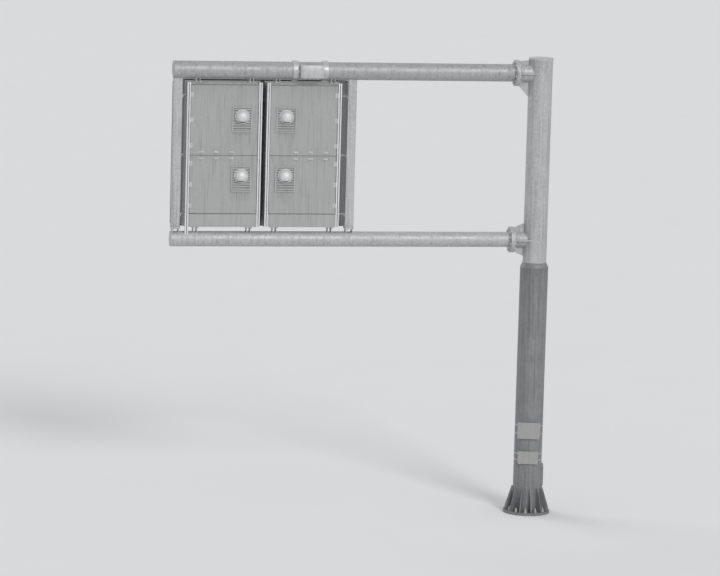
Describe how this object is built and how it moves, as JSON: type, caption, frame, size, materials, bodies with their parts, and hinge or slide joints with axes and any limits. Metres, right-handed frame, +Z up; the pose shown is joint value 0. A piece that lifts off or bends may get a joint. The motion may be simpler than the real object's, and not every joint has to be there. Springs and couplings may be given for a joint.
{
  "type": "cantilever overhead sign gantry",
  "caption": "Roadside cantilever gantry: round mast on a gusseted base flange, round booms bolted to it, and a cabinet message sign between the booms.",
  "frame": {"origin": "mast axis at the underside of the base flange", "axes": "+Z up the mast, +X along the booms to their tips, -Y the way the display looks, +Y the side of the cabinet doors"},
  "size_m": [9.2098, 1.28, 10.775],
  "materials": {
    "galvanised": "dull hot-dip galvanised steel with faint spangle",
    "weathered": "weathered galvanised steel, darker and dirtier near the ground",
    "lid": "bright zinc coated steel",
    "cabinet": "light grey coated aluminium sheet",
    "door": "light grey coated aluminium sheet",
    "rail": "plain extruded aluminium channel",
    "cowl": "spun aluminium, satin",
    "louvre": "grey coated aluminium louvre",
    "fittings": "stainless hinges and latches",
    "surround": "matt black coated board",
    "display": "black matrix face behind a dull clear sheet",
    "lens": "amber lens in a black hood",
    "cable_box": "bare cast and sheet aluminium",
    "marker": "blank pale retroreflective plate"
  },
  "bodies": {
    "root": {"base_flange": "weathered", "base_gussets": "weathered", "mast_lower": "weathered", "access_door_frame": "weathered", "access_door": "weathered", "mast_reducer": "weathered", "mast_upper": "galvanised", "mast_cap": "lid", "lower_stub": "galvanised", "lower_stub_flange": "galvanised", "lower_stub_gussets": "galvanised", "upper_stub": "galvanised", "upper_stub_flange": "galvanised", "upper_stub_gussets": "galvanised", "lower_boom_flange": "galvanised", "lower_boom": "galvanised", "lower_boom_cap": "galvanised", "upper_boom_flange": "galvanised", "upper_boom": "galvanised", "upper_boom_cap": "galvanised", "tip_post": "galvanised", "inner_post": "galvanised", "post_stools": "galvanised", "cabinet_feet": "galvanised", "cabinet_hangers": "galvanised", "side_brackets": "galvanised", "outer_cabinet": "cabinet", "outer_upper_door": "door", "outer_lower_door": "door", "inner_cabinet": "cabinet", "inner_upper_door": "door", "inner_lower_door": "door", "corner_rails": "rail", "vent_louvres": "louvre", "vent_cowls": "cowl", "door_hinges": "fittings", "door_latches": "fittings", "front_board": "surround", "outer_display": "display", "inner_display": "display", "display_visor": "surround", "warning_lanterns": "lens", "junction_box": "cable_box", "marker_plates": "marker", "marker_straps": "fittings"}
  },
  "joints": []
}
